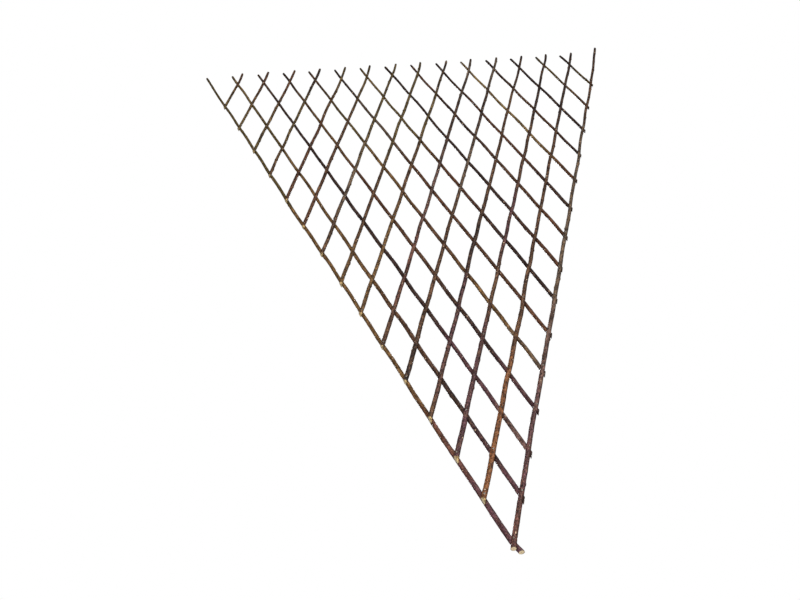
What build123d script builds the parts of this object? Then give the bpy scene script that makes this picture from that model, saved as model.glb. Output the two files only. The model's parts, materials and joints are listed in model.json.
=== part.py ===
from build123d import *
import os
from math import cos, radians, sin

# Expanding willow fan trellis, opened to a narrow fan and standing on its foot.
# Two flat layers of unpeeled willow rods cross in a diamond lattice. Every crossing is pinned by
# one clinched wire nail, so the whole fan swings open and shut about its nails like lazy tongs.
# Frame: X across, -Y to the front, +Z up the trellis. The origin is on the ground, straight under
# the foot nail. The front rods lean to +X and the back rods lean to -X, and y = 0 is between them.
# All sizes are in millimetres.

# ---- lattice
rods_per_layer = 15        # rods in the front layer, and as many in the back layer
pin_spacing = 101.6        # from one nail to the next, along a rod
half_angle = 17.4          # lean of each rod from the vertical as it stands, in degrees
top_row = 15               # rows of crossings above the foot nail
layer_gap = 0.5            # free air between the two layers of rods

# ---- rods: each is cut from wands matched for thickness, so thickness falls with height
foot_rod_diameter = 9.6
top_rod_diameter = 5.6
foot_stub = 18.3           # foot nail to the level-cut ends that stand on the ground
front_stub = 12.7          # lowest nail to the trimmed end of the other front rods
back_stub = 9.5            # lowest nail to the trimmed end of the other back rods
front_overhang = 44.0      # top nail to the tip of a front rod
back_overhang = 45.5       # top nail to the tip of a back rod
corner_front_overhang = 164.5   # last nail to the tip of the right-hand edge rod
corner_back_overhang = 146.0    # last nail to the tip of the left-hand edge rod
tip_chamfer = 0.6
knuckle_rise = 0.25        # swelling at the leaf knuckle halfway between two nails
knuckle_reach = 20.0       # its length to each side

# ---- nails
shank_diameter = 1.8
head_diameter = 3.8
head_thickness = 0.9
head_rounding = 0.35
seat_depth = 0.45          # the head sinks this far into the front rod
seat_clearance = 0.15      # between the head and the wall of its seat
swing_clearance = 0.10     # radial, between a shank and the rod that turns on it
foot_head_lift = 0.30      # the foot nail's head stands off its rod, which turns under it
tail_clearance = 0.60      # straight shank left behind the back rod before the bend
clinch_bend_radius = 1.8
clinch_length = 6.5        # from the shank's axis to the end of the bent-over tail

# ---- worked out
lean = radians(half_angle)
foot_pin_height = foot_stub * cos(lean)
FRONT = -1
BACK = 1
layer_name = {FRONT: "front", BACK: "back"}


def rod_radius(row):
    """Rod radius at a height of so many rows above the foot nail."""
    share = row / top_row
    return (foot_rod_diameter + (top_rod_diameter - foot_rod_diameter) * share) / 2


def lattice_point(front_index, back_index):
    """x and z where front rod and back rod of these numbers cross; parts of a step are allowed."""
    x = (back_index - front_index) * pin_spacing * sin(lean)
    z = foot_pin_height + (front_index + back_index) * pin_spacing * cos(lean)
    return x, z


def axis_point(layer, index, step):
    """A point on a rod's centre line, so many nail spacings above its lowest nail."""
    if layer == FRONT:
        x, z = lattice_point(index, step)
    else:
        x, z = lattice_point(step, index)
    return Vector(x, layer * (layer_gap / 2 + rod_radius(index + step)), z)


def last_pin(index):
    """The highest nail on a rod: the edge rods have no partner for the corner crossing."""
    return min(top_row - index, rods_per_layer - 1)


def lower_stub(layer, index):
    """How far a rod runs on below its lowest nail."""
    if index == 0:
        return foot_stub
    return front_stub if layer == FRONT else back_stub


def upper_overhang(layer, index):
    """How far a rod runs on above its highest nail."""
    if index == 0:
        return corner_front_overhang if layer == FRONT else corner_back_overhang
    return front_overhang if layer == FRONT else back_overhang


def cut_plane(layer, index):
    """The lower cut: level on the two feet; elsewhere in line with the edge rod it crosses."""
    end = axis_point(layer, index, -lower_stub(layer, index) / pin_spacing)
    if index == 0:
        return Plane(origin=end, z_dir=(0, 0, 1))
    return Plane(origin=end, z_dir=(-layer * cos(lean), 0, sin(lean)))


def crown_plane(layer, index, step):
    """The outermost line of a rod at one of its nails, facing away from the other layer."""
    point = axis_point(layer, index, step)
    crown = Vector(point.X, point.Y + layer * rod_radius(index + step), point.Z)
    return Plane(origin=crown, x_dir=(1, 0, 0), z_dir=(0, layer, 0))


def save(builder, name):
    """Label a finished piece and write it as its own STEP file."""
    builder.part.label = name
    export_step(builder.part, "parts/" + name + ".step")


def rod_profile(index, low_step, high_step):
    """Half the rod's long section as (radius, height) points: a taper with a knuckle in each span."""

    def edge(step, rise=0.0):
        return rod_radius(index + step) + rise, (step - low_step) * pin_spacing

    reach = knuckle_reach / pin_spacing
    points = [(0, 0), edge(low_step)]
    for span in range(int(high_step)):
        middle = span + 0.5
        points += [edge(middle - reach), edge(middle, knuckle_rise), edge(middle + reach)]
    tip_radius, tip_height = edge(high_step)
    points += [
        (tip_radius, tip_height - tip_chamfer),
        (tip_radius - tip_chamfer, tip_height),
        (0, tip_height),
    ]
    return points


def make_rod(layer, index):
    """One tapered rod, cut at its foot end, with a bore at every nail."""
    cut_allowance = 2 * foot_rod_diameter
    low_step = -(lower_stub(layer, index) + cut_allowance) / pin_spacing
    high_step = last_pin(index) + upper_overhang(layer, index) / pin_spacing
    low = axis_point(layer, index, low_step)
    high = axis_point(layer, index, high_step)
    along = (high - low).normalized()
    sideways = along.cross(Vector(0, 1, 0)).normalized()
    with BuildPart() as rod:
        with BuildSketch(Plane(origin=low, x_dir=sideways, z_dir=sideways.cross(along))):
            with BuildLine():
                Polyline(rod_profile(index, low_step, high_step), close=True)
            make_face()
        revolve(axis=Axis(low, along))
        split(bisect_by=cut_plane(layer, index), keep=Keep.TOP)
        through = 2 * foot_rod_diameter
        loose = shank_diameter / 2 + swing_clearance
        pins = range(last_pin(index) + 1)
        turning = [s for s in pins if layer == BACK or index + s == 0]
        fixed = [s for s in pins if s not in turning]
        if layer == BACK:
            with Locations([crown_plane(layer, index, s) for s in turning]):
                Hole(radius=loose, depth=through)
        else:
            seat = head_diameter / 2 + seat_clearance
            for steps, bore in ((turning, loose), (fixed, shank_diameter / 2)):
                if steps:
                    with Locations([crown_plane(layer, index, s) for s in steps]):
                        CounterBoreHole(
                            radius=bore,
                            counter_bore_radius=seat,
                            counter_bore_depth=seat_depth,
                            depth=through,
                        )
    return rod


def nail_profile_plane(front_index, back_index):
    """A plane through a nail: its x runs back through the layers, its y runs up the front rod."""
    x, z = lattice_point(front_index, back_index)
    return Plane(origin=(x, 0, z), x_dir=(0, 1, 0), z_dir=(cos(lean), 0, -sin(lean)))


def make_nails(crossings, head_lift=0.0):
    """Clinched nails at these crossings, each a separate solid: head, shank and bent-over tail."""
    with BuildPart() as nails:
        for front_index, back_index in crossings:
            row = front_index + back_index
            reach = layer_gap / 2 + 2 * rod_radius(row)
            under_head = -reach + seat_depth - head_lift
            turn = reach + tail_clearance + clinch_bend_radius
            plane = nail_profile_plane(front_index, back_index)
            start = plane.from_local_coords((under_head, 0, 0))
            with BuildLine(plane):
                FilletPolyline(
                    (under_head, 0), (turn, 0), (turn, clinch_length), radius=clinch_bend_radius
                )
            with BuildSketch(Plane(origin=start, z_dir=(0, 1, 0))):
                Circle(shank_diameter / 2)
            sweep()
            with Locations(Plane(origin=start, z_dir=(0, -1, 0))):
                head = Cylinder(
                    head_diameter / 2,
                    head_thickness,
                    align=(Align.CENTER, Align.CENTER, Align.MIN),
                )
            fillet(head.edges().sort_by(Axis.Y)[:1], head_rounding)
    return nails


os.makedirs("parts", exist_ok=True)

for layer in (FRONT, BACK):
    for index in range(rods_per_layer):
        rod = make_rod(layer, index)
        save(rod, f"{layer_name[layer]}_rod_{index + 1:02d}")

foot_nail = make_nails([(0, 0)], head_lift=foot_head_lift)
save(foot_nail, "foot_nail")

for index in range(rods_per_layer):
    first_step = 1 if index == 0 else 0
    crossings = [(index, step) for step in range(first_step, last_pin(index) + 1)]
    row_nails = make_nails(crossings)
    save(row_nails, f"front_rod_nails_{index + 1:02d}")
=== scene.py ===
"""Looks for an expanding willow fan trellis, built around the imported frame.

Every rod is a new surface in the place of its plain CAD taper: a tapered tube with the small bends,
leaf knuckles, bud scars, bark ridges and secateur cuts of a dried willow wand. The nails are the
CAD nails with a galvanised finish, most of it browned. Lengths are in metres.
"""
import json

import bpy
import numpy as np
from mathutils import Matrix, Vector


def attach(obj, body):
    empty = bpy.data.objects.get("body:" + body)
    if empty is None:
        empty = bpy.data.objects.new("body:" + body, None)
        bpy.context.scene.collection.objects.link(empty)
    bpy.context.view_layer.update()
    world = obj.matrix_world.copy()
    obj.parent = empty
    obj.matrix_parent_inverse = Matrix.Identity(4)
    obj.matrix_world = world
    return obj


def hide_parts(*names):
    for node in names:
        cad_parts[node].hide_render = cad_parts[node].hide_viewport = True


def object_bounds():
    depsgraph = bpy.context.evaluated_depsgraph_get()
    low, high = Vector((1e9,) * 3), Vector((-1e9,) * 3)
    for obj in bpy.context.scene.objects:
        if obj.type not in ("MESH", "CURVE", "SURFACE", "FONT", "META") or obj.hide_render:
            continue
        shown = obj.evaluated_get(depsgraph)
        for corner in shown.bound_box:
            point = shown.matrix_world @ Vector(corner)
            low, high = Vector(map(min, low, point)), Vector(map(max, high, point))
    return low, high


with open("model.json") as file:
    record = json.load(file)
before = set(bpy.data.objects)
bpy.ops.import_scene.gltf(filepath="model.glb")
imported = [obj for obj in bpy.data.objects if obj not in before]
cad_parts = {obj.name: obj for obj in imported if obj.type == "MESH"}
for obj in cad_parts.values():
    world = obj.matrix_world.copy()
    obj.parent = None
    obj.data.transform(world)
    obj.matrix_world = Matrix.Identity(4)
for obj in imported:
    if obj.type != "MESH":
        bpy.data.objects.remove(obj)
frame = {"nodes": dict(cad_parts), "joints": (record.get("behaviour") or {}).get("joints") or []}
cad_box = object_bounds()

MM = 0.001

# ---- the lattice, from the frame: two hinge places give one step up each layer
RODS_PER_LAYER = 15
TOP_ROW = 15
HINGE_PLACE = {joint["name"]: np.array(joint["pos_m"], float) for joint in frame["joints"]}
FOOT_PIN = HINGE_PLACE["fan_spread"]
FRONT_STEP = HINGE_PLACE["back_rod_02_swing"] - FOOT_PIN
BACK_STEP = HINGE_PLACE["front_rod_02_swing"] - FOOT_PIN
SPACING = float(np.linalg.norm(FRONT_STEP))

# ---- rods, the sizes of the CAD rods
FOOT_RADIUS = 4.8 * MM
TOP_RADIUS = 2.8 * MM
HALF_GAP = 0.25 * MM
FOOT_STUB = 18.3 * MM     # foot nail to the level cuts of the two edge rods
INNER_LIMIT = 0.08 * MM   # no bark comes nearer than this to the plane between the layers,
OUTER_LIMIT = 10.5 * MM   # or stands further from it than this

# ---- the two layers. out: which way the layer faces along Y; step: from nail to nail up a rod;
# start: from one rod's lowest nail to the next rod's; stub, tip: bare lengths below the lowest and
# above the highest nail; corner_tip: the same for the edge rod; ridge: bark relief; scar_share: buds
# cut off; slim: thickness against the CAD rod; dent: how far a nail is pulled in; sweep, foot_bend:
# bends of the edge rod's two ends; stub_shade: painted shade on the bark below the lowest nail;
# lift: bud height; peeled_rods: rods with a number under this have bark torn back from the lower cut
FRONT = {
    "name": "front", "out": -1.0, "step": FRONT_STEP, "start": BACK_STEP,
    "stub": 12.7 * MM, "tip": 44.0 * MM, "corner_tip": 162.9 * MM,
    "ridge": 0.13 * MM, "scar_share": 0.75, "slim": 1.0, "dent": 0.40 * MM, "sweep": 5.0 * MM,
    "stub_shade": 0.0, "foot_bend": -1.5 * MM, "lift": 0.85, "peeled_rods": 13, "seed": 11,
}
BACK = {
    "name": "back", "out": 1.0, "step": BACK_STEP, "start": FRONT_STEP,
    "stub": 9.5 * MM, "tip": 45.5 * MM, "corner_tip": 146.0 * MM,
    "ridge": 0.06 * MM, "scar_share": 0.60, "slim": 0.94, "dent": 0.15 * MM, "sweep": 0.0,
    "stub_shade": 0.85, "foot_bend": 4.0 * MM, "lift": 0.45, "peeled_rods": 0, "seed": 47,
}

# ---- fineness of the rod surfaces
AROUND = 28
RING_PITCH = 1.25 * MM
CAP_SHARES = (0.90, 0.88, 0.60, 0.30)   # rings drawn inside a cut face, as shares of its rim
CAP_ROUGHNESS = 0.04 * MM

# ---- how a willow wand grows and dries
BUD_GAP = (24, 50)             # from bud to bud, in millimetres
BUD_TURN = np.radians(144)     # from bud to bud round the rod
BUD_NAIL_CLEARANCE = 7 * MM    # nails go in clear of the buds
BUD_WIDTH = (0.9, 1.5)         # half width in millimetres
BUD_HEIGHT = (1.5, 2.6)        # half height in millimetres
KNUCKLE_RISE = (0.10, 0.28)    # in millimetres
KNUCKLE_REACH = 5 * MM         # the wood swells this far to each side of a bud
BUD_FOOT_DEPTH = 0.18 * MM     # the leaf scar's hollow under a bud
OVALITY = 0.045
OVAL_TWIST = 0.31              # metres of rod for one radian of twist
DRIFT = 0.28                   # slow bend of the whole rod, in radii
DRIFT_SPAN = 2.5               # nail spacings between its knots
BOW = 1.6 * MM                 # largest bow between two nails
NAIL_DENT_REACH = 2.3 * MM
CUT_TILT_FADE = 11 * MM        # the rings level out over this length above a slanting cut
SHORT_SWEEP = 0.4              # the other rods' tips bend this share of the edge rod's
FOOT_BEND_START = 8 * MM       # the foot's bend starts this far above the foot nail
PEELED_LENGTH = 3.2 * MM
NO_SCAR = 6.0                  # bud_scar value of bark that is far from any scar

# ---- softboxes: name, place, side in metres, power in watts, colour
SOFTBOXES = (
    ("front_softbox", (1.5, -3.2, 1.3), 1.2, 63, "#fffaf4"),
    ("low_softbox", (-0.8, -2.2, -1.7), 1.0, 104, "#fffaf4"),
    ("back_softbox", (0.3, 2.9, 3.5), 2.0, 200, "#f8fbff"),
)

# ---- bark tones of dried unpeeled willow, and the words for each rod from its foot to its tip
TONES = {
    "plum": "#553743", "mauve": "#69524f", "mahogany": "#653f3c", "umber": "#573d2e",
    "copper": "#805030", "rust": "#5c3929", "tan": "#775a36", "olive": "#615531", "ash": "#63564a",
    "char": "#2c2124", "straw": "#887249",
}
PEELED_WOOD = "#d9bb80"
FRONT_TONES = (
    "mahogany plum mauve ash ash ash umber char",
    "copper copper umber umber umber char char",
    "plum plum umber plum umber char char",
    "umber plum char umber umber char",
    "char umber umber ash char ash",
    "umber mahogany mauve char ash",
    "tan tan umber olive char",
    "tan umber olive olive",
    "umber ash olive olive",
    "rust umber olive",
    "rust rust olive",
    "umber olive char",
    "olive rust",
    "olive rust",
    "olive rust",
)
BACK_TONES = (
    "plum plum mahogany rust tan tan tan tan tan tan olive olive olive olive olive olive",
    "plum char umber tan tan olive straw",
    "mauve plum char char char char umber",
    "plum char umber rust tan char",
    "ash tan umber tan olive umber",
    "rust umber rust ash char",
    "char char rust olive straw",
    "rust char char char",
    "rust umber char rust",
    "char rust char",
    "rust straw straw",
    "char umber char",
    "char char",
    "umber olive",
    "olive char",
)


def linear(hex_colour):
    """sRGB hex to linear red, green, blue: ((c + 0.055) / 1.055) ** 2.4, or c / 12.92 when dark."""
    parts = np.array([int(hex_colour[i:i + 2], 16) / 255 for i in (1, 3, 5)])
    return np.where(parts <= 0.04045, parts / 12.92, ((parts + 0.055) / 1.055) ** 2.4)


def rgba(hex_colour):
    """The same with an alpha of one, for a socket or a ramp."""
    return (*linear(hex_colour), 1.0)


# ---------------------------------------------------------------- shape of a rod

def unit(vector):
    """A vector divided by its length."""
    return vector / np.linalg.norm(vector)


def radius_at(row):
    """Bare radius at a height in rows above the foot nail: a straight line from foot to top."""
    return FOOT_RADIUS + (TOP_RADIUS - FOOT_RADIUS) * row / TOP_ROW


def smooth_noise(rng, places, knots, size):
    """Random values at whole-number knots, joined by cosine ease: a + (b - a)(1 - cos(pi t)) / 2."""
    values = rng.uniform(-size, size, knots + 2)
    low = np.clip(np.floor(places).astype(int), 0, knots)
    t = np.clip(places - low, 0, 1)
    return values[low] + (values[low + 1] - values[low]) * (1 - np.cos(np.pi * t)) / 2


def ridges(rng, angle, height, waves, around, length):
    """Bark relief of about -1 to 1: cosines of (m angle + 2 pi height / wave + phase), added up
    and divided by 1.6 times the square root of their number.
    """
    total = np.zeros(np.broadcast(angle, height).shape)
    for _ in range(waves):
        m = rng.integers(around[0], around[1] + 1)
        wave = rng.uniform(*length) * rng.choice((-1, 1))
        total += np.cos(m * angle + 2 * np.pi * height / wave + rng.uniform(0, 2 * np.pi))
    return total / np.sqrt(waves) / 1.6


def bud_places(rng, low, high, pins):
    """Buds by BUD_GAP up the rod, each turned by about BUD_TURN from the last, none under a nail."""
    gaps = rng.uniform(*BUD_GAP, int((high - low) / (BUD_GAP[0] * MM)) + 2) * MM
    heights = low + 8 * MM + np.cumsum(gaps) - gaps[0] * rng.uniform(0.2, 1)
    turns = BUD_TURN * np.arange(len(heights)) + rng.uniform(0, 2 * np.pi)
    turns = turns + rng.normal(0, 0.35, len(heights))
    clear = np.abs(heights[:, None] - pins[None, :]).min(1) > BUD_NAIL_CLEARANCE
    keep = clear & (heights < high - 6 * MM)
    return heights[keep], turns[keep]


def wrapped(angle):
    """An angle brought to between -pi and pi."""
    return (angle + np.pi) % (2 * np.pi) - np.pi


def grow_buds(rng, layer, angle, height, radius, surface, buds):
    """The surface with its buds, and the scar field: 0 in the middle of a cut bud, 1 at its edge.

    Each bud adds a swelling of the whole rod, exp(-(up / reach) ** 2), and a bump, exp(-(s / 2.2)
    ** 1.5), where s is the squared distance in an ellipse that narrows downwards. Under it is the
    hollow of the leaf scar.
    """
    scar = np.full(height.shape, NO_SCAR)
    for bud_height, bud_turn in zip(*buds):
        up = height - bud_height
        around = radius * wrapped(angle - bud_turn)
        surface = surface + rng.uniform(*KNUCKLE_RISE) * MM * np.exp(-(up / KNUCKLE_REACH) ** 2)
        cut_off = rng.random() < layer["scar_share"]
        wide, tall = rng.uniform(*BUD_WIDTH) * MM, rng.uniform(*BUD_HEIGHT) * MM
        pinch = 1 + 0.35 * np.clip(up / tall, -1.5, 1.5)
        spread = (pinch * around / wide) ** 2 + (up / tall) ** 2
        lift = layer["lift"] * (1.0 if cut_off else 0.6) * MM
        surface = surface + lift * np.exp(-(spread / 2.2) ** 1.5)
        below_bud = ((up + 1.9 * tall) / (1.4 * MM)) ** 2 + (around / (1.6 * wide)) ** 2
        surface = surface - BUD_FOOT_DEPTH * np.exp(-below_bud)
        if cut_off:
            scar = np.minimum(scar, np.sqrt(spread) / rng.uniform(0.62, 1.0))
    return surface, scar


def bend_at(rng, layer, index, height, radius, ends):
    """How far the rod's middle is off its straight line: slow drift, bows and free ends.

    The drift is smooth noise over several nails. The bow is smooth noise times sin(pi steps), so it
    is nil at each nail. Each free end adds a power of the distance past its last nail.
    """
    low, high, last_pin = ends
    places = np.clip(height / SPACING, -0.2, None) + 0.2
    spans = (high - low) / SPACING
    drift = radius * smooth_noise(rng, places / DRIFT_SPAN, int(spans / DRIFT_SPAN) + 2, DRIFT)
    bow = smooth_noise(rng, places, int(spans) + 2, BOW)
    bend = drift + bow * np.sin(np.pi * height / SPACING)
    beyond = np.clip((height - last_pin) / (high - last_pin), 0, 1)
    bend = bend + layer["sweep"] * (1.0 if index == 0 else SHORT_SWEEP) * beyond ** 2
    if index == 0:
        below = np.clip((FOOT_BEND_START - height) / (FOOT_BEND_START - low), 0, 1)
        bend = bend + layer["foot_bend"] * below ** 1.5
    return bend


def rod_grid(layer, index):
    """The rod's surface as a grid of points, with its bark coordinates, scar field and cut data.

    A point is axis + bend * side + surface * (cos a * side + sin a * out). The surface is the taper
    times one plus a twisting cos 2a for its oval, plus the bark's ridges and its buds, less a dent
    exp(-distance ** 2) under each nail.
    """
    rng = np.random.default_rng(layer["seed"] * 100 + index)
    along = unit(layer["step"])
    out = np.array([0.0, layer["out"], 0.0])
    side = np.cross(out, along)
    top_pin = min(TOP_ROW - index, RODS_PER_LAYER - 1)
    stub = FOOT_STUB if index == 0 else layer["stub"]
    tip = layer["corner_tip"] if index == 0 else layer["tip"]
    low, high = -stub, top_pin * SPACING + tip
    pins = np.arange(top_pin + 1) * SPACING
    start = FOOT_PIN + index * layer["start"]

    rings = int(round((high - low) / RING_PITCH)) + 1
    angle = np.linspace(0, 2 * np.pi, AROUND, endpoint=False)[None, :]
    share = np.linspace(0, 1, rings)[:, None]

    # the lower cut: level at the two feet, in line with the edge rod it crosses elsewhere
    if index == 0:
        cut_normal = np.array([0.0, 0.0, 1.0])
    else:
        cut_normal = np.cross(unit(layer["start"]), out)
    rim = radius_at(index + low / SPACING)
    slant = -rim * np.cos(angle) * (side @ cut_normal) / (along @ cut_normal)
    level = low + (high - low) * share
    height = level + slant * np.exp((low - level) / CUT_TILT_FADE)

    row = index + height / SPACING
    radius = radius_at(row)
    oval = OVALITY * np.cos(2 * (angle - height / OVAL_TWIST - rng.uniform(0, 6)))
    relief = layer["ridge"] * ridges(rng, angle, height, 16, (3, 11), (0.03, 0.13))
    grit = 0.35 * layer["ridge"] * ridges(rng, angle, height, 14, (4, 13), (0.004, 0.012))
    surface = layer["slim"] * radius * (1 + oval) + relief + grit
    buds = bud_places(rng, low, high, pins)
    surface, scar = grow_buds(rng, layer, angle, height, radius, surface, buds)
    for pin in pins:
        away = (height - pin) ** 2 + (radius * wrapped(angle - np.pi / 2)) ** 2
        surface = surface - layer["dent"] * np.exp(-away / NAIL_DENT_REACH ** 2)
    # the tip shrinks a tenth as its end grain dries
    surface = surface * (1 - 0.10 * np.exp(-((high - height) / (4 * MM)) ** 2))

    bend = bend_at(rng, layer, index, height, radius, (low, high, pins[-1]))
    across = bend + surface * np.cos(angle)
    outward = HALF_GAP + radius + surface * np.sin(angle)
    outward = np.clip(outward, INNER_LIMIT, OUTER_LIMIT)
    points = (
        start + height[..., None] * along + across[..., None] * side + outward[..., None] * out
    )
    # the first ring lies in the cut plane
    end = start + low * along + (HALF_GAP + rim) * out
    off_plane = (points[0] - end) @ cut_normal / (along @ cut_normal)
    points[0] -= off_plane[:, None] * along
    shift = rng.uniform(0, 3, 3)
    local = np.stack([
        radius * np.cos(angle), radius * np.sin(angle), height * np.ones_like(angle)
    ], axis=-1)
    return points, local, shift, scar, (high - low), rng


def tone_field(layer, index, local, length, rng):
    """Linear colour at each point: the rod's tones blended from foot to tip by 3 t^2 - 2 t^3, with
    ragged fronts, times a lightness of 1 plus cosines along the rod, darker at the weathered tip,
    with painted shade darkening the bark below the lowest nail of every back rod but the edge rod.
    """
    words = (FRONT_TONES if layer is FRONT else BACK_TONES)[index].split()
    keys = np.array([linear(TONES[word]) for word in words])
    angle = np.arctan2(local[..., 1], local[..., 0])
    height = local[..., 2]
    ragged = 0.045 * ridges(rng, angle, height, 10, (0, 3), (0.05, 0.22))
    place = np.clip((height + FOOT_STUB) / length, 0, 1)
    place = np.clip(place * (len(words) - 1) + ragged * len(words), 0, len(words) - 1 - 1e-6)
    low = np.floor(place).astype(int)
    t = (place - low)[..., None]
    t = t * t * (3 - 2 * t)
    colour = keys[low] * (1 - t) + keys[low + 1] * t
    lightness = 1 + 0.42 * ridges(rng, angle, height, 14, (0, 2), (0.02, 0.16))
    lightness = lightness * (1 - 0.35 * np.exp((height - length + FOOT_STUB) / (16 * MM)))
    # painted shade: the bark below each rod's lowest nail is darkened by stub_shade (none on the front
    # rods)
    if index > 0:
        lightness = lightness * (1 - layer["stub_shade"] * (0.5 - 0.5 * np.tanh(height / (3 * MM))))
    colour = colour * np.clip(lightness, 0.35, 1.6)[..., None]
    # bark torn back a few millimetres from the lower cut
    if 0 < index < layer["peeled_rods"]:
        edge = PEELED_LENGTH - layer["stub"]
        edge = edge + 1.6 * MM * ridges(rng, angle, height, 8, (1, 5), (0.01, 0.03))
        peeled = 0.5 - 0.5 * np.tanh((height - edge) / (0.6 * MM))[..., None]
        colour = colour * (1 - peeled) + linear(PEELED_WOOD) * peeled
    return colour


def cap_rings(ring, shares, inward, rng, roughness):
    """Rings drawn in from a rod's end ring to its middle: middle + share * (ring - middle)."""
    middle = ring.mean(0)
    made = []
    for share in shares:
        grown = middle + share * (ring - middle)
        made.append(grown + inward * roughness * rng.random((len(ring), 1)))
    return made, middle + inward * roughness


def strip_faces(rows):
    """Quads between successive rows of vertex numbers, closed round the rod."""
    rows = np.asarray(rows)
    nxt = np.roll(rows, -1, axis=1)
    return np.stack([rows[:-1], nxt[:-1], nxt[1:], rows[1:]], axis=-1).reshape(-1, 4)


def mesh_object(name, points, quads, fans, wood_quads_from, attributes, materials):
    """A mesh from arrays: quads first, then triangles; the cut faces take the second material."""
    mesh = bpy.data.meshes.new(name)
    mesh.vertices.add(len(points))
    mesh.vertices.foreach_set("co", points.astype(np.float32).ravel())
    corners = np.concatenate([quads.ravel(), fans.ravel()]).astype(np.int32)
    starts = np.concatenate([
        np.arange(len(quads)) * 4, len(quads) * 4 + np.arange(len(fans)) * 3
    ]).astype(np.int32)
    mesh.loops.add(len(corners))
    mesh.polygons.add(len(starts))
    mesh.loops.foreach_set("vertex_index", corners)
    mesh.polygons.foreach_set("loop_start", starts)
    faces = np.arange(len(starts))
    is_wood = faces >= wood_quads_from
    mesh.polygons.foreach_set("material_index", is_wood.astype(np.int32))
    mesh.polygons.foreach_set("use_smooth", ~is_wood)
    for label, kind, values in attributes:
        layer = mesh.attributes.new(label, kind, "POINT")
        field = {"FLOAT": "value", "FLOAT_VECTOR": "vector", "FLOAT_COLOR": "color"}[kind]
        layer.data.foreach_set(field, values.astype(np.float32).ravel())
    mesh.update(calc_edges=True)
    mesh.validate()
    made = bpy.data.objects.new(name, mesh)
    bpy.context.scene.collection.objects.link(made)
    for material in materials:
        mesh.materials.append(material)
    return made


def make_rod(layer, index, materials):
    """One willow rod: its bark tube, its two cut ends, and the attributes its bark reads."""
    grid, local, shift, scar, length, rng = rod_grid(layer, index)
    tone = tone_field(layer, index, local, length, rng)
    rings, around = grid.shape[:2]
    along = unit(layer["step"])

    blocks = [grid.reshape(-1, 3)]
    places = [local.reshape(-1, 3)]
    tones = [tone.reshape(-1, 3)]
    scars = [scar.ravel()]
    numbers = np.arange(rings * around).reshape(rings, around)
    bark_quads = [strip_faces(numbers)]
    wood_quads, fans = [], []
    count = rings * around
    for ring, place, inward, flip in (
        (grid[0], local[0], along, True), (grid[-1], local[-1], -along, False)
    ):
        made, middle = cap_rings(ring, CAP_SHARES, inward, rng, CAP_ROUGHNESS)
        first = numbers[0] if flip else numbers[-1]
        rows = [first] + [np.arange(around) + count + around * n for n in range(len(CAP_SHARES))]
        rows = np.array(rows[::-1] if flip else rows)
        quads = strip_faces(rows)
        rim = slice(-around, None) if flip else slice(0, around)
        keep = np.ones(len(quads), bool)
        keep[rim] = False
        bark_quads.append(quads[~keep])
        wood_quads.append(quads[keep])
        inner = np.arange(around) + count + around * (len(CAP_SHARES) - 1)
        hub = np.full(around, count + around * len(CAP_SHARES))
        order = (np.roll(inner, -1), inner, hub) if flip else (inner, np.roll(inner, -1), hub)
        fans.append(np.stack(order, axis=-1))
        blocks += made + [middle[None, :]]
        flat = np.concatenate([place * [s, s, 1] for s in CAP_SHARES] + [place.mean(0)[None, :]])
        places.append(flat)
        tones.append(np.repeat(tone[0 if flip else -1].mean(0)[None, :], len(flat), 0))
        scars.append(np.full(len(flat), NO_SCAR))
        count += around * len(CAP_SHARES) + 1
    quads = np.concatenate(bark_quads + wood_quads)
    wood_from = sum(len(part) for part in bark_quads)
    colour = np.concatenate(tones)
    attributes = (
        ("bark_place", "FLOAT_VECTOR", np.concatenate(places)),
        ("bark_shift", "FLOAT_VECTOR", np.repeat(shift[None, :], count, 0)),
        ("bark_tone", "FLOAT_COLOR", np.concatenate([colour, np.ones((count, 1))], axis=1)),
        ("bud_scar", "FLOAT", np.concatenate(scars)),
    )
    name = f"{layer['name']}_willow_rod_{index + 1:02d}"
    rod = mesh_object(
        name, np.concatenate(blocks), quads, np.concatenate(fans), wood_from, attributes, materials
    )
    node = f"{layer['name']}_rod_{index + 1:02d}"
    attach(rod, node + "_body")
    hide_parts(node)


# ---------------------------------------------------------------- materials

def new_material(name):
    """An empty node material and its output node."""
    material = bpy.data.materials.new(name)
    material.use_nodes = True
    material.node_tree.nodes.clear()
    output = material.node_tree.nodes.new("ShaderNodeOutputMaterial")
    return material, material.node_tree, output


def add(tree, kind, inputs=None, **settings):
    """Adds one node. inputs maps a socket name or number to a value or to an output to link."""
    node = tree.nodes.new(kind)
    for key, value in settings.items():
        setattr(node, key, value)
    for key, value in (inputs or {}).items():
        socket = node.inputs[key]
        if isinstance(value, bpy.types.NodeSocket):
            tree.links.new(value, socket)
        else:
            socket.default_value = value
    return node


def ramp(tree, factor, stops):
    """A colour ramp with (position, hex colour) stops, read by a factor."""
    node = add(tree, "ShaderNodeValToRGB", {0: factor})
    while len(node.color_ramp.elements) < len(stops):
        node.color_ramp.elements.new(0.5)
    for element, (position, hex_colour) in zip(node.color_ramp.elements, stops):
        element.position = position
        element.color = rgba(hex_colour)
    return node.outputs["Color"]


def mix(tree, factor, first, second, blend="MIX"):
    """Two colours mixed by a factor."""
    node = add(tree, "ShaderNodeMix", data_type="RGBA", blend_type=blend)
    for socket, value in ((node.inputs[0], factor), (node.inputs[6], first), (node.inputs[7], second)):
        if isinstance(value, bpy.types.NodeSocket):
            tree.links.new(value, socket)
        else:
            socket.default_value = value
    return node.outputs[2]


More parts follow.
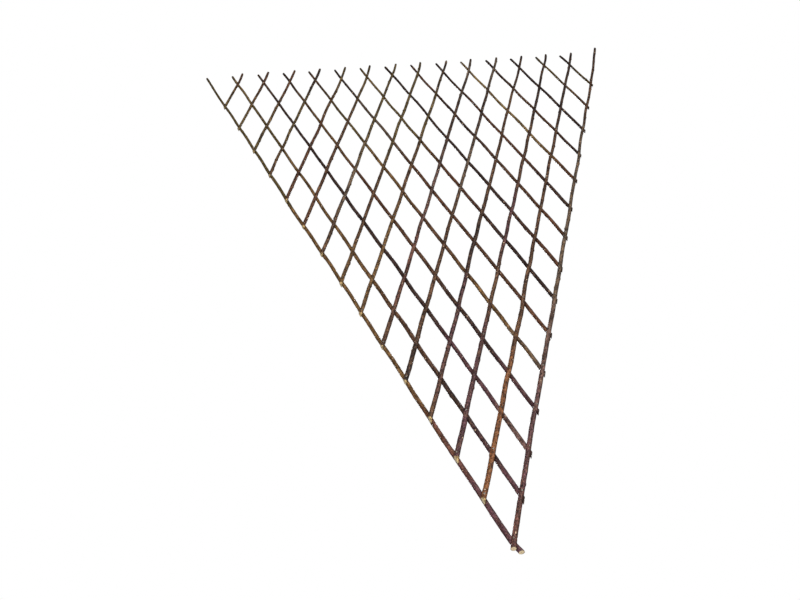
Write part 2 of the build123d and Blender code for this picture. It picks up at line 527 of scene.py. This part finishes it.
def bark_space(tree, stretch, scale):
    """Bark coordinates: round the rod and along it, drawn out along the grain, scale per metre."""
    place = add(tree, "ShaderNodeAttribute", attribute_name="bark_place").outputs["Vector"]
    shift = add(tree, "ShaderNodeAttribute", attribute_name="bark_shift").outputs["Vector"]
    moved = add(tree, "ShaderNodeVectorMath", {0: place, 1: shift}, operation="ADD").outputs[0]
    return add(
        tree, "ShaderNodeMapping", {"Vector": moved, "Scale": (scale, scale, scale / stretch)}
    ).outputs[0]


def map_range(tree, value, low, high, to_low=0.0, to_high=1.0):
    """A value carried from one range to another, held at the ends."""
    return add(
        tree, "ShaderNodeMapRange", {0: value, 1: low, 2: high, 3: to_low, 4: to_high}, clamp=True
    ).outputs[0]


def make_bark(name, crack_depth, blotching, warm_share, warm_tone, gloss_low, gloss_high):
    """Unpeeled willow bark, air dried: waxy thin skin, fine lengthwise wrinkles, pale bud scars."""
    material, tree, output = new_material(name)
    tone = add(tree, "ShaderNodeAttribute", attribute_name="bark_tone").outputs["Color"]
    scar = add(tree, "ShaderNodeAttribute", attribute_name="bud_scar").outputs["Fac"]

    # blotches about 2.8 by 5 mm, bleached patches about 9 by 18 mm, wrinkles about 1 mm wide and
    # 10 mm long, fibres about 0.4 by 2 mm, pores about 0.8 mm across
    blotch = add(tree, "ShaderNodeTexNoise", {
        "Vector": bark_space(tree, 1.8, 1 / (2.8 * MM)), "Scale": 1.0, "Detail": 3.0, "Roughness": 0.6,
    }).outputs[0]
    wrinkle = add(tree, "ShaderNodeTexNoise", {
        "Vector": bark_space(tree, 9.0, 1 / (1.1 * MM)), "Scale": 1.0, "Detail": 4.0, "Roughness": 0.65,
    }).outputs[0]
    fine = add(tree, "ShaderNodeTexNoise", {
        "Vector": bark_space(tree, 5.0, 1 / (0.4 * MM)), "Scale": 1.0, "Detail": 3.0, "Roughness": 0.7,
    }).outputs[0]
    pore = add(tree, "ShaderNodeTexVoronoi", {
        "Vector": bark_space(tree, 1.6, 1 / (3.4 * MM)), "Scale": 1.0, "Randomness": 1.0,
    }).outputs["Distance"]

    bleach = add(tree, "ShaderNodeTexNoise", {
        "Vector": bark_space(tree, 2.0, 1 / (9 * MM)), "Scale": 1.0, "Detail": 4.0, "Roughness": 0.7,
    }).outputs[0]
    gain = add(tree, "ShaderNodeMath", {
        0: map_range(tree, blotch, 0.38, 0.62, 1 - 0.72 * blotching, 1 + 0.78 * blotching),
        1: map_range(tree, bleach, 0.38, 0.62, 1 - 0.50 * blotching, 1 + 0.52 * blotching),
    }, operation="MULTIPLY").outputs[0]
    colour = add(tree, "ShaderNodeVectorMath", {0: tone, 3: gain}, operation="SCALE").outputs[0]
    colour = mix(tree, map_range(tree, bleach, 0.52, 0.66, 0.0, warm_share), colour, rgba(warm_tone))
    # pale bark flakes on the blotch peaks, partly painted highlight: pale specks standing in for glints
    # on the bark, strongest on the rough bark
    flake_and_painted_highlight = map_range(tree, blotch, 0.58, 0.66, 0.0, 0.42 * blotching)
    colour = mix(tree, flake_and_painted_highlight, colour, rgba("#b48c70"))
    crack = map_range(tree, wrinkle, 0.34, 0.51, crack_depth, 0.0)
    colour = mix(tree, crack, colour, rgba("#1d1412"))
    fleck = map_range(tree, wrinkle, 0.59, 0.72, 0.0, 0.60)
    colour = mix(tree, fleck, colour, rgba("#ad8565"))
    thread = map_range(tree, fine, 0.36, 0.50, 0.55, 0.0)
    colour = mix(tree, thread, colour, rgba("#241713"))
    dust = map_range(tree, fine, 0.56, 0.70, 0.0, 0.38)
    colour = mix(tree, dust, colour, rgba("#ad8463"))
    dot = map_range(tree, pore, 0.08, 0.17, 0.50, 0.0)
    colour = mix(tree, dot, colour, rgba("#b59a7c"))
    # bud scars: a dark corky rim, pale torn wood with a ragged edge, a brown trace in the middle
    ragged = add(tree, "ShaderNodeMath", {
        0: scar, 1: map_range(tree, fine, 0.3, 0.7, -0.30, 0.30),
    }, operation="ADD").outputs[0]
    colour = mix(tree, map_range(tree, ragged, 1.20, 1.90, 0.85, 0.0), colour, rgba("#2a1b15"))
    torn = mix(tree, map_range(tree, fine, 0.35, 0.65), rgba("#c99f7e"), rgba("#f0dac2"))
    colour = mix(tree, map_range(tree, ragged, 0.80, 1.10, 1.0, 0.0), colour, torn)
    colour = mix(tree, map_range(tree, ragged, 0.15, 0.42, 0.8, 0.0), colour, rgba("#6a4528"))

    gloss = map_range(tree, wrinkle, 0.3, 0.7, gloss_high, gloss_low)
    wart = map_range(tree, pore, 0.05, 0.25, 0.25, 0.0)
    fluted = add(tree, "ShaderNodeMath", {0: wrinkle, 1: wart}, operation="ADD").outputs[0]
    height = add(tree, "ShaderNodeMath", {
        0: fine, 1: 0.4, 2: fluted,
    }, operation="MULTIPLY_ADD").outputs[0]
    bump = add(tree, "ShaderNodeBump", {
        "Height": height, "Strength": 0.9, "Distance": 0.40 * MM,
    }).outputs[0]
    shader = add(tree, "ShaderNodeBsdfPrincipled", {
        "Base Color": colour, "Roughness": gloss, "Normal": bump, "IOR": 1.45,
    })
    tree.links.new(shader.outputs[0], output.inputs[0])
    return material


def make_cut_wood():
    """Willow wood cut with secateurs: cream sapwood, faint yearly rings, brown pith, crushed fibres."""
    material, tree, output = new_material("cut_willow_wood")
    place = add(tree, "ShaderNodeAttribute", attribute_name="bark_place").outputs["Vector"]
    flat = add(tree, "ShaderNodeVectorMath", {0: place, 1: (1.0, 1.0, 0.0)}, operation="MULTIPLY")
    reach = add(tree, "ShaderNodeVectorMath", {0: flat.outputs[0]}, operation="LENGTH").outputs["Value"]
    # yearly rings about 1.3 mm apart, pith about 1.2 mm across, fibres about 0.3 mm
    fibre = add(tree, "ShaderNodeTexNoise", {
        "Vector": bark_space(tree, 1.0, 1 / (0.6 * MM)), "Scale": 1.0, "Detail": 3.0,
    }).outputs[0]
    wave = add(tree, "ShaderNodeMath", {0: reach, 1: 2 * np.pi / (1.3 * MM)}, operation="MULTIPLY")
    rings = add(tree, "ShaderNodeMath", {0: wave.outputs[0]}, operation="SINE").outputs[0]
    colour = mix(tree, map_range(tree, rings, 0.2, 1.0, 0.0, 0.35), rgba("#f7e9c6"), rgba("#dcb878"))
    colour = mix(tree, map_range(tree, fibre, 0.35, 0.6, 0.30, 0.0), colour, rgba("#bd9863"))
    colour = mix(tree, map_range(tree, reach, 0.45 * MM, 0.8 * MM, 0.75, 0.0), colour, rgba("#7a5530"))
    bump = add(tree, "ShaderNodeBump", {"Height": fibre, "Strength": 0.5, "Distance": 0.2 * MM})
    shader = add(tree, "ShaderNodeBsdfPrincipled", {
        "Base Color": colour, "Roughness": 0.72, "Normal": bump.outputs[0],
    })
    tree.links.new(shader.outputs[0], output.inputs[0])
    return material


def make_nail_steel():
    """Galvanised wire nail: dull zinc over steel, with grey bloom and the first specks of rust."""
    material, tree, output = new_material("galvanised_nail_steel")
    place = add(tree, "ShaderNodeTexCoord").outputs["Object"]
    bloom = add(tree, "ShaderNodeTexNoise", {
        "Vector": place, "Scale": 1 / (1.6 * MM), "Detail": 3.0, "Roughness": 0.6,
    }).outputs[0]
    # some nails keep their zinc, most have browned: patches about 60 mm across cover whole nails
    age = add(tree, "ShaderNodeTexNoise", {
        "Vector": place, "Scale": 1 / (60 * MM), "Detail": 1.0,
    }).outputs[0]
    colour = mix(tree, map_range(tree, bloom, 0.35, 0.65), rgba("#8d8a84"), rgba("#b9b5ac"))
    colour = mix(tree, map_range(tree, age, 0.44, 0.56, 0.75, 0.0), colour, rgba("#5d4334"))
    colour = mix(tree, map_range(tree, bloom, 0.60, 0.72, 0.0, 0.7), colour, rgba("#6b3f27"))
    gloss = map_range(tree, bloom, 0.3, 0.7, 0.42, 0.62)
    bump = add(tree, "ShaderNodeBump", {"Height": bloom, "Strength": 0.25, "Distance": 0.05 * MM})
    shader = add(tree, "ShaderNodeBsdfPrincipled", {
        "Base Color": colour, "Metallic": 1.0, "Roughness": gloss, "Normal": bump.outputs[0],
    })
    tree.links.new(shader.outputs[0], output.inputs[0])
    return material


def make_floor_paint():
    """Matt pale floor paint, glowing a little as if lit by the room; clear from below."""
    material, tree, output = new_material("pale_floor_paint")
    place = add(tree, "ShaderNodeTexCoord").outputs["Object"]
    mottle = add(tree, "ShaderNodeTexNoise", {"Vector": place, "Scale": 3.0, "Detail": 4.0}).outputs[0]
    colour = ramp(tree, mottle, ((0.3, "#e6e4e0"), (0.7, "#eceae6")))
    reach = add(tree, "ShaderNodeVectorMath", {0: place}, operation="LENGTH").outputs["Value"]
    paint = add(tree, "ShaderNodeBsdfDiffuse", {"Color": colour, "Roughness": 0.6})
    clear = add(tree, "ShaderNodeBsdfTransparent")
    above = add(tree, "ShaderNodeMath", {
        0: 1.0, 1: add(tree, "ShaderNodeNewGeometry").outputs["Backfacing"],
    }, operation="SUBTRACT").outputs[0]
    seen = add(tree, "ShaderNodeMath", {
        0: above, 1: add(tree, "ShaderNodeLightPath").outputs["Is Camera Ray"],
    }, operation="MULTIPLY").outputs[0]
    glow = add(tree, "ShaderNodeEmission", {"Color": colour, "Strength": 0.55})
    near = add(tree, "ShaderNodeAddShader", {0: paint.outputs[0], 1: glow.outputs[0]})
    # the floor runs into the white surround between 1.5 and 6 metres away
    white = add(tree, "ShaderNodeEmission", {"Color": (1, 1, 1, 1), "Strength": 1.0})
    pale = add(tree, "ShaderNodeMixShader", {
        0: map_range(tree, reach, 1.5, 6.0), 1: near.outputs[0], 2: white.outputs[0],
    })
    shader = add(tree, "ShaderNodeMixShader", {
        0: seen, 1: clear.outputs[0], 2: pale.outputs[0],
    })
    tree.links.new(shader.outputs[0], output.inputs[0])
    return material


# ---------------------------------------------------------------- studio

def make_floor():
    """A round pale floor at ground height under the foot of the trellis."""
    turn = np.linspace(0, 2 * np.pi, 96, endpoint=False)
    rim = np.stack([12 * np.cos(turn), 12 * np.sin(turn), np.zeros(96)], axis=-1)
    mesh = bpy.data.meshes.new("floor")
    mesh.from_pydata(rim.tolist(), [], [list(range(96))])
    floor = bpy.data.objects.new("floor", mesh)
    bpy.context.scene.collection.objects.link(floor)
    mesh.materials.append(make_floor_paint())


def make_softbox(target, name, place, size, power, hex_colour):
    """A square area light at a place, turned to a target."""
    data = bpy.data.lights.new(name, "AREA")
    data.shape = "SQUARE"
    data.size = size
    data.energy = power
    data.color = linear(hex_colour)
    light = bpy.data.objects.new(name, data)
    light.location = place
    light.visible_camera = False
    light.rotation_euler = (Vector(target) - Vector(place)).to_track_quat("-Z", "Y").to_euler()
    bpy.context.scene.collection.objects.link(light)


def make_world():
    """A white surround: full white where it is seen, dimmer where it lights the willow."""
    world = bpy.data.worlds.new("studio_surround")
    bpy.context.scene.world = world
    world.use_nodes = True
    tree = world.node_tree
    tree.nodes.clear()
    seen = add(tree, "ShaderNodeBackground", {"Color": (1, 1, 1, 1), "Strength": 1.0})
    lit = add(tree, "ShaderNodeBackground", {"Color": rgba("#f2f4f8"), "Strength": 0.03})
    camera_ray = add(tree, "ShaderNodeLightPath").outputs["Is Camera Ray"]
    both = add(tree, "ShaderNodeMixShader", {0: camera_ray, 1: lit.outputs[0], 2: seen.outputs[0]})
    output = add(tree, "ShaderNodeOutputWorld")
    tree.links.new(both.outputs[0], output.inputs[0])


def make_camera():
    """A 61 mm lens below and before the foot, looking up the face of the trellis."""
    data = bpy.data.cameras.new("camera")
    data.sensor_width = 36.0
    data.lens = 60.9
    camera = bpy.data.objects.new("camera", data)
    place = Vector((-0.3138, -1.6038, -1.3409))
    forward = Vector((0.08076, 0.62960, 0.77271)).normalized()
    up = Vector((0.07698, -0.77663, 0.62523))
    right = forward.cross(up).normalized()
    up = right.cross(forward)
    turn = Matrix((right, up, -forward)).transposed().to_4x4()
    camera.matrix_world = Matrix.Translation(place) @ turn
    bpy.context.scene.collection.objects.link(camera)
    bpy.context.scene.camera = camera


make_camera()
make_world()
make_floor()
low_corner, high_corner = cad_box
middle = (low_corner + high_corner) / 2
for light in SOFTBOXES:
    make_softbox(middle, *light)
bpy.context.scene.view_settings.view_transform = "Standard"

rough_bark = make_bark("rough_dried_willow_bark", 0.85, 1.0, 0.45, "#8a6b42", 0.45, 0.70)
smooth_bark = make_bark("smooth_dried_willow_bark", 0.6, 0.65, 0.20, "#78605a", 0.34, 0.52)
cut_wood = make_cut_wood()
nail_steel = make_nail_steel()

for layer, bark in ((FRONT, rough_bark), (BACK, smooth_bark)):
    for index in range(RODS_PER_LAYER):
        make_rod(layer, index, (bark, cut_wood))

for name, node in frame["nodes"].items():
    if "nail" in name:
        node.data.materials.clear()
        node.data.materials.append(nail_steel)
